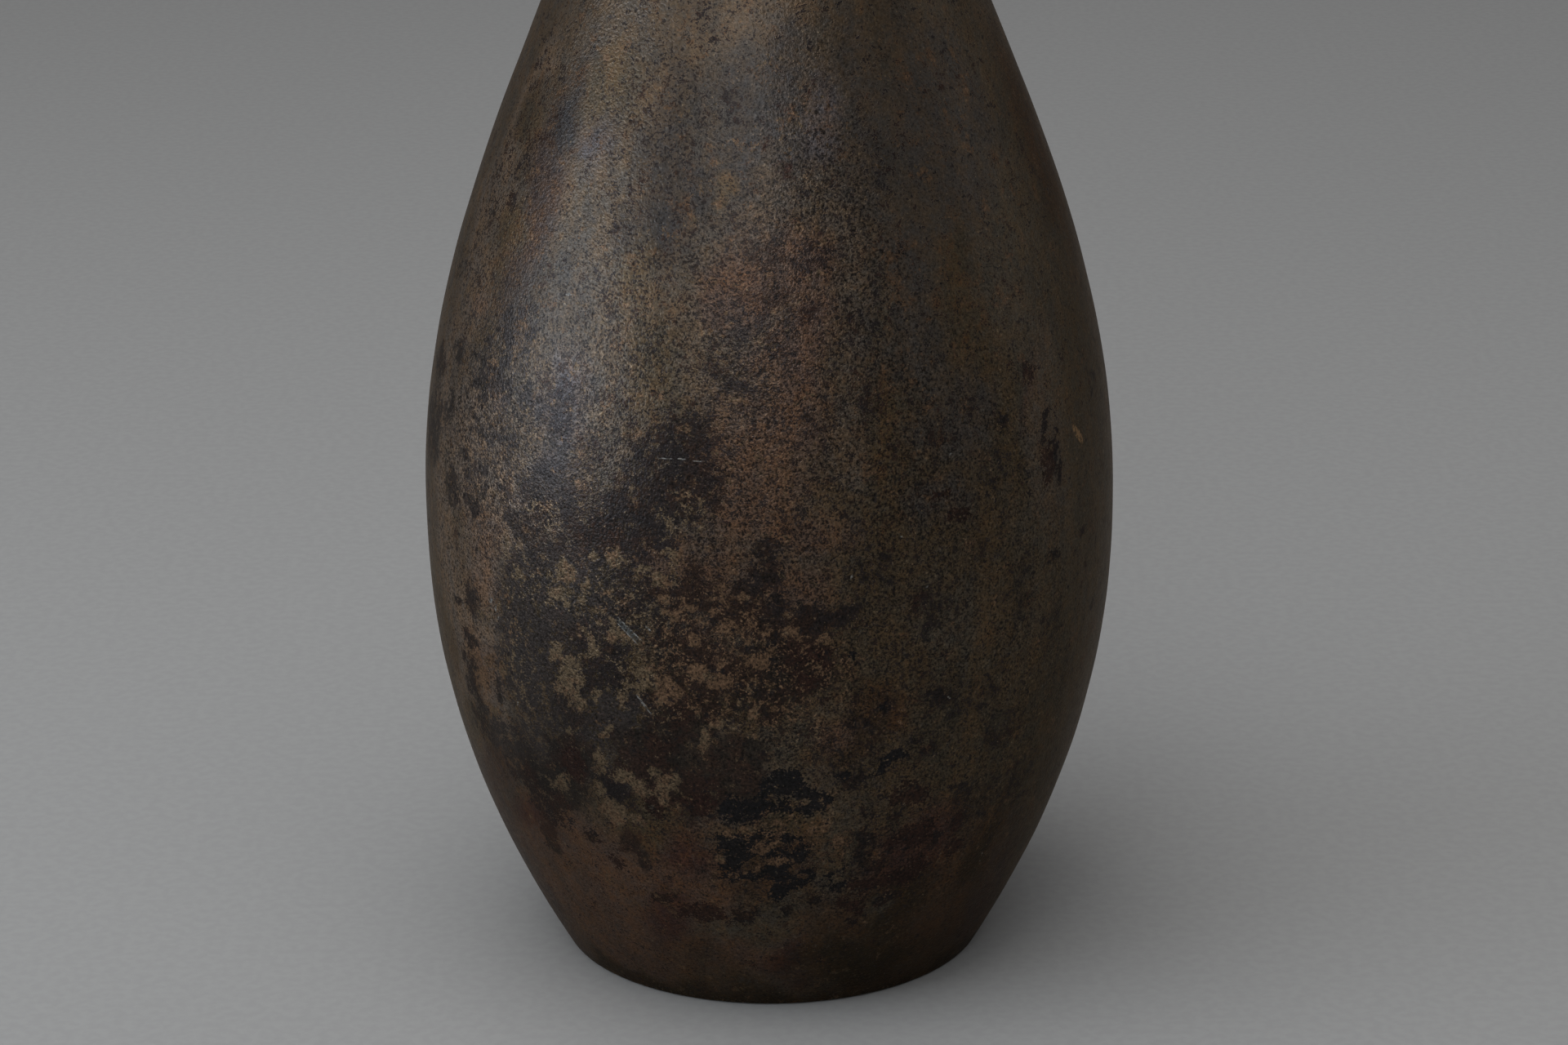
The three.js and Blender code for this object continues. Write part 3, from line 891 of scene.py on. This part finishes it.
# Near white: bright metal in the scratches, and painted glints on some of the tiny nicks
SCRATCH_AND_GLINT_WHITE = (0.22, 0.215, 0.20, 1)
SCRAPED = (0.29, 0.175, 0.086, 1)
BARE_BRONZE = (0.26, 0.19, 0.11, 1)
INSIDE_BROWN = (0.026, 0.021, 0.016, 1)
PLATE_BROWN = (0.075, 0.056, 0.038, 1)
PLATE_STAIN = (0.036, 0.029, 0.022, 1)
PLATE_GLEAM = (0.12, 0.085, 0.05, 1)
SOLDER_PALE = (0.16, 0.155, 0.14, 1)
SOLDER_DULL = (0.05, 0.045, 0.038, 1)
PAPER = (0.32, 0.32, 0.317, 1)
PALER_PAPER = (0.34, 0.34, 0.336, 1)
STUDIO_GREY = (0.26, 0.26, 0.264, 1)

# Scratches and nicks down to brighter metal, some of the tiny nicks being painted glints.
# Each is azimuth, height, half length, half width, tilt
SCRATCHES_AND_GLINTS = [
    (-20.9, 94.8, 3.2, 0.36, -52), (-22.7, 114.8, 4.6, 0.22, -40), (-23.3, 113.7, 4.4, 0.18, -42),
    (-19.6, 115.6, 1.0, 0.3, -35), (-51.6, 112.6, 0.9, 0.5, 40), (-50.4, 111.0, 0.9, 0.4, 80),
    (-49.9, 108.6, 0.6, 0.3, 60), (-47.1, 86.2, 0.8, 0.3, 60), (12.8, 129.7, 0.7, 0.35, 60),
    (25.3, 124.6, 0.6, 0.25, 20), (21.0, 138.5, 0.5, 0.2, 0), (30.5, 157.0, 0.5, 0.2, 40),
    (-17.0, 159.1, 2.2, 0.16, 2), (-14.2, 159.3, 1.2, 0.2, 0), (-11.6, 159.0, 1.4, 0.13, 0),
    (45.5, 41.0, 0.35, 0.3, 0), (45.8, 38.5, 0.3, 0.25, 0), (30.0, 93.5, 0.7, 0.25, -40),
    (-38.2, 194.5, 1.2, 0.3, 10),
]
# A dull rubbed place round two scratches, and a scrape down to bare metal, listed alike
SCUFFS = [(-23.0, 114.2, 4.4, 0.8, -41)]
SCRAPES = [(61.9, 150.8, 4.0, 1.3, -50)]


def marks(shade, grain, ellipses):
    """Where some marks are, each a slender ellipse on the unrolled surface, broken by grain."""
    parts = shade.add("ShaderNodeSeparateXYZ", [shade.place])
    along = shade.sum("MULTIPLY", shade.field("azimuth"), UNROLL)
    up = shade.sum("DIVIDE", parts.outputs[2], MM)
    unrolled = shade.add("ShaderNodeCombineXYZ", (along, up))
    total = 0.0
    for azimuth, height, half_length, half_width, tilt in ellipses:
        local = shade.add("ShaderNodeMapping", {
            "Vector": unrolled.outputs[0],
            "Location": (azimuth * UNROLL, height, 0),
            "Rotation": (0, 0, math.radians(tilt)),
            "Scale": (half_length, half_width, 1),
        }, vector_type="TEXTURE")
        reach = shade.add("ShaderNodeVectorMath", [local.outputs[0]], operation="LENGTH")
        inside = shade.ramp(reach.outputs["Value"], 1.1, 0.7)
        total = shade.sum("MAXIMUM", total, inside)
    return shade.sum("MULTIPLY", total, shade.ramp(grain, -0.9, 0.5, 0.2, 1.0))


def skin_grains(shade):
    """The noises of the casting's skin, from the broadest down to the casting sand."""
    return SimpleNamespace(
        broad=shade.grain(12, detail=4, rough=0.7, seed=1.3),
        mottle=shade.grain(6, detail=5, rough=0.85, seed=5.3),
        streaks=shade.grain(5, detail=3, rough=0.6, seed=7.7, stretch=(1, 1, 0.07)),
        hues=shade.grain(4.5, detail=4, rough=0.8, seed=8.8),
        strands=shade.grain(4.2, detail=3, rough=0.7, seed=6.3),
        veins=shade.grain(3.4, detail=3, rough=0.75, seed=14.1),
        clumps=shade.grain(3.2, detail=3, rough=0.85, seed=2.1),
        hollows=shade.grain(1.8, detail=0, seed=9.3),
        pits=shade.grain(0.8, detail=1, seed=4.9),
        sand=shade.grain(0.75, detail=1, rough=0.8, seed=3.7),
    )


def ground(shade, grain):
    """The painted tone, with rust and ash in it, leaning by turns to two hues."""
    tone = shade.add("ShaderNodeAttribute", attribute_name="tone").outputs["Color"]
    rust_cover = shade.sum("MULTIPLY_ADD", shade.field("rusty"), 0.22, 0.1)
    rust_edge = shade.blend((grain.mottle, 0.18), (grain.streaks, 0.08), (grain.sand, 0.07))
    colour = shade.lay(tone, RUST, shade.ragged(rust_cover, rust_edge, edge=0.2), 0.45)
    ash_edge = shade.blend((grain.mottle, -0.2), (grain.sand, 0.07))
    colour = shade.lay(colour, ASH, shade.ragged(0.1, ash_edge, edge=0.2), 0.45)
    leaning = shade.blend((grain.hues, 1.0), (grain.streaks, 0.5))
    hue = shade.mix(shade.ramp(leaning, -2.4, 2.4), COOLER, WARMER)
    return shade.mix(1.0, colour, hue, "MULTIPLY")


def dark_mask(shade, grain):
    """Where the dark patina is: torn clouds, winding lace and fine freckles."""
    torn = shade.blend((grain.broad, 0.05), (grain.clumps, 0.24), (grain.sand, 0.24))
    clouds = shade.ragged(shade.field("dark"), torn)
    winding = shade.blend(
        (shade.threads(grain.strands), 0.34), (grain.clumps, -0.1), (grain.sand, 0.1),
    )
    lace = shade.ragged(shade.sum("MULTIPLY", shade.field("lace"), 0.82), winding)
    freckled = shade.sum("MULTIPLY", shade.field("freckles"), 0.32)
    freckles = shade.ragged(freckled, shade.blend((grain.pits, -0.22), (grain.clumps, 0.08)))
    patches = shade.sum("MAXIMUM", clouds, lace)
    return shade.sum("MAXIMUM", patches, shade.sum("MULTIPLY", freckles, 0.85))


def dark_colour(shade, grain):
    """Near black, browner where the patina is rusty, and paler with painted sheen in the
    dark-sheen areas.
    """
    browner = shade.sum("MULTIPLY_ADD", shade.field("rusty"), 1.5, grain.mottle)
    colour = shade.mix(shade.ramp(browner, -0.6, 1.6), CLOUD, BROWN_CLOUD)
    return shade.lay(colour, DARK_SHEEN, shade.field("dusky"), 0.9)


def with_glazes(shade, grain, colour):
    glaze_edge = shade.blend((grain.broad, 0.12), (grain.clumps, 0.12), (grain.sand, 0.08))
    glaze = shade.ragged(shade.field("glaze"), glaze_edge, edge=0.3)
    glaze_colour = shade.mix(shade.ramp(grain.broad, -1.2, 1.2), OLIVE_GLAZE, BROWN_GLAZE)
    return shade.lay(colour, glaze_colour, glaze, 0.85)


def with_islands(shade, grain, colour):
    """Ochre islands and specks, redder where the patina is rusty."""
    island_edge = shade.blend((grain.mottle, 0.16), (grain.clumps, -0.22), (grain.sand, -0.1))
    islands = shade.ragged(shade.field("ochre"), island_edge, edge=0.08)
    speck_edge = shade.blend(
        (shade.threads(grain.veins), 0.36), (grain.clumps, -0.1), (grain.sand, 0.05),
    )
    specked = shade.sum("MULTIPLY", shade.field("specks"), 0.28)
    specks = shade.ragged(specked, speck_edge, edge=0.08)
    redder = shade.sum("MULTIPLY_ADD", shade.field("rusty"), 3.0, grain.mottle)
    island_colour = shade.mix(shade.ramp(redder, 0.2, 2.4), PALE_OCHRE, PALE_RUST)
    return shade.lay(colour, island_colour, shade.sum("MAXIMUM", islands, specks), 0.9)


def sanded(shade, grain, colour):
    """The colour made lighter and darker by the cast grain, most in the sandy areas."""
    sand_share = shade.sum("MULTIPLY_ADD", shade.field("sandy"), 0.23, 0.17)
    light = shade.blend(
        (grain.broad, 0.04),
        (grain.clumps, 0.05),
        (grain.streaks, 0.06),
        (shade.sum("MULTIPLY", grain.sand, sand_share), 1.0),
    )
    light = shade.sum("MAXIMUM", shade.sum("ADD", light, 1.0), 0.2)
    grey = shade.add("ShaderNodeCombineColor", [light] * 3)
    return shade.mix(1.0, colour, grey.outputs[0], "MULTIPLY")


def pit_mask(shade, grain):
    pitted = shade.sum("MULTIPLY_ADD", shade.field("sandy"), 0.12, 0.04)
    return shade.ragged(pitted, shade.blend((grain.pits, 0.16), (grain.hollows, 0.16)), edge=0.08)


def marked(shade, grain, colour):
    """The colour with its scuffs, scratches, painted glints and scrapes."""
    for places, mark_colour in ((SCUFFS, SCUFFED), (SCRATCHES_AND_GLINTS, SCRATCH_AND_GLINT_WHITE), (SCRAPES, SCRAPED)):
        colour = shade.mix(marks(shade, grain.sand, places), colour, mark_colour)
    return colour


def worn(shade, grain, colour):
    """The colour rubbed down to bare bronze on the lip and, a little, at the foot's edge."""
    rubbed = shade.sum("MULTIPLY", shade.field("wear"), 0.75)
    bare = shade.ragged(rubbed, shade.sum("MULTIPLY", grain.sand, 0.2), edge=0.15)
    return shade.lay(colour, BARE_BRONZE, bare, 0.6)


def mottled_bronze():
    """The casting's skin: sandy cast grain under a patina of many browns."""
    shade = Shade("mottled_bronze")
    grain = skin_grains(shade)
    torn = shade.blend((grain.mottle, 0.20), (grain.clumps, -0.12), (grain.sand, -0.16))
    dark = dark_mask(shade, grain)
    oxblood = shade.ragged(shade.sum("MULTIPLY", shade.field("oxblood"), 0.9), torn)
    slate = shade.ragged(shade.field("slate"), torn)
    pits = pit_mask(shade, grain)

    colour = shade.lay(ground(shade, grain), dark_colour(shade, grain), dark, 0.93)
    colour = with_glazes(shade, grain, colour)
    colour = shade.lay(colour, OXBLOOD, oxblood, 0.85)
    colour = shade.lay(colour, SLATE, slate, 0.95)
    colour = with_islands(shade, grain, colour)
    colour = sanded(shade, grain, colour)
    colour = shade.lay(colour, CLOUD, pits, 0.85)
    colour = worn(shade, grain, marked(shade, grain, colour))
    colour = shade.mix(shade.field("outside"), INSIDE_BROWN, colour)

    # The patina lies a little proud of the ground, and the tops of the grain are shinier
    skin = shade.sum("MAXIMUM", dark, slate)
    height = shade.blend((grain.sand, 0.042), (grain.pits, 0.042), (pits, -0.12), (skin, 0.04))
    glint = shade.ramp(grain.sand, 0.6, 2.0, 0.0, -0.06)
    roughness = shade.sum("ADD", shade.sum("MULTIPLY_ADD", grain.clumps, 0.02, 0.45), glint)
    return shade.finish(
        colour, roughness, height, depth=0.3, metallic=METALLIC, coat=0.085, coat_roughness=0.26,
    )


# How far apart the finest lathe rings on the base plate are, in millimetres
RING_APART = 0.7


def turned_bronze():
    """The base plate: dulled metal with fine rings from the lathe."""
    shade = Shade("turned_bronze")
    parts = shade.add("ShaderNodeSeparateXYZ", [shade.place])
    square = shade.sum("MULTIPLY", parts.outputs[0], parts.outputs[0])
    square = shade.sum("MULTIPLY_ADD", parts.outputs[1], parts.outputs[1], square)
    radius = shade.sum("SQRT", square)
    rings = shade.sum("SINE", shade.sum("MULTIPLY", radius, 2 * math.pi / (RING_APART * MM)))
    stains = shade.grain(9, detail=5, rough=0.65, seed=8.3)
    grain = shade.grain(0.8, detail=2, rough=0.6, seed=9.1)
    colour = shade.mix(shade.ramp(stains, -2.2, 2.2), PLATE_BROWN, PLATE_STAIN)
    colour = shade.mix(shade.ramp(grain, 0.8, 2.0, 0, 0.5), colour, PLATE_GLEAM)
    roughness = shade.ramp(stains, -1.5, 1.5, 0.42, 0.62)
    height = shade.blend((rings, 0.1), (grain, 0.1))
    return shade.finish(colour, roughness, height, depth=0.1, metallic=METALLIC)


def aged_solder():
    """The bead: grey solder, dulled in flowing patches."""
    shade = Shade("aged_solder")
    flow = shade.grain(4, detail=4, rough=0.6, seed=10.7)
    grain = shade.grain(0.7, detail=2, rough=0.6, seed=11.3)
    colour = shade.mix(shade.ramp(flow, -0.9, 0.9), SOLDER_PALE, SOLDER_DULL)
    roughness = shade.ramp(grain, -1.5, 1.5, 0.45, 0.65)
    height = shade.blend((flow, 0.2), (grain, 0.08))
    return shade.finish(colour, roughness, height, depth=0.2, metallic=METALLIC)


def dress(piece, node, material):
    """The piece takes its material and stands for its CAD node."""
    piece.data.materials.append(material)
    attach(piece, "root")
    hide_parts(node)


# Stage: a plain floor, four soft lamps and the world

# Metres: the floor is a hair below the foot, and the lamps face the body of the vase
FLOOR_RADIUS = 5
FLOOR_DROP = 0.0002
LAMPS_AIM = (0, 0, 0.17)

# Lamps: which way they stand from the vase, how far off, their size, brightness and colour
LAMPS = [
    ("soft_box_left", (-0.95, -0.31, 0.10), 1.4, (1.15, 0.56), 4.3, (0.78, 0.88, 1.0)),
    ("soft_box_front", (-0.14, -0.86, 0.42), 1.8, (0.8, 0.8), 2.4, (0.94, 0.97, 1.0)),
    ("soft_box_above", (-0.2, -0.22, 0.95), 1.7, (1.6, 1.6), 2.5, (1, 1, 1)),
    ("soft_box_right", (0.97, 0.12, 0.22), 1.6, (0.35, 1.0), 0.4, (1, 1, 1)),
]


def floor():
    bpy.ops.mesh.primitive_circle_add(
        vertices=96, radius=FLOOR_RADIUS, fill_type="NGON", location=(0, 0, -FLOOR_DROP),
    )
    disc = bpy.context.object
    disc.name = "floor"
    shade = Shade("floor_paper")
    paper = shade.grain(3, detail=3, seed=12.9)
    colour = shade.mix(shade.ramp(paper, -2, 2), PAPER, PALER_PAPER)
    disc.data.materials.append(shade.finish(colour, 0.8, paper, depth=0.004, metallic=0.0))


def soft_lamp(name, towards, distance, size, radiance, colour):
    """A rectangular soft box that faces the vase, lit to a given brightness."""
    light = bpy.data.lights.new(name, "AREA")
    light.shape = "RECTANGLE"
    light.size, light.size_y = size
    light.energy = radiance * math.pi * size[0] * size[1]
    light.color = colour
    lamp = bpy.data.objects.new(name, light)
    lamp.visible_camera = False
    direction = Vector(towards).normalized()
    lamp.location = Vector(LAMPS_AIM) + direction * distance
    lamp.rotation_euler = direction.to_track_quat("Z", "Y").to_euler()
    bpy.context.scene.collection.objects.link(lamp)


def lamps():
    for lamp in LAMPS:
        soft_lamp(*lamp)


def surroundings():
    world = bpy.data.worlds.new("studio")
    bpy.context.scene.world = world
    world.use_nodes = True
    background = world.node_tree.nodes["Background"]
    background.inputs["Color"].default_value = STUDIO_GREY


# Camera at the photo's viewing angle, fitted to the vase's outline: millimetres and degrees
CAMERA_DISTANCE = 1136.5
CAMERA_HEIGHT = 511.0
CAMERA_PITCH = 19.289
CAMERA_YAW = 0.187
CAMERA_ROLL = -0.422
CAMERA_LENS = 105.0
CAMERA_SENSOR = 36.0


def camera():
    data = bpy.data.cameras.new("camera")
    data.sensor_width = CAMERA_SENSOR
    data.lens = CAMERA_LENS
    holder = bpy.data.objects.new("camera", data)
    turn = Matrix.Rotation(-math.radians(CAMERA_YAW), 4, "Z")
    tilt = Matrix.Rotation(math.radians(90 - CAMERA_PITCH), 4, "X")
    roll = Matrix.Rotation(math.radians(CAMERA_ROLL), 4, "Z")
    place = Matrix.Translation((0, -CAMERA_DISTANCE * MM, CAMERA_HEIGHT * MM))
    holder.matrix_world = place @ turn @ tilt @ roll
    bpy.context.scene.collection.objects.link(holder)
    bpy.context.scene.camera = holder


camera()
dress(casting(), "body_casting", mottled_bronze())
dress(base_plate(), "base_plate", turned_bronze())
dress(solder_bead(), "base_solder_bead", aged_solder())
floor()
lamps()
surroundings()
bpy.context.scene.view_settings.view_transform = "Standard"
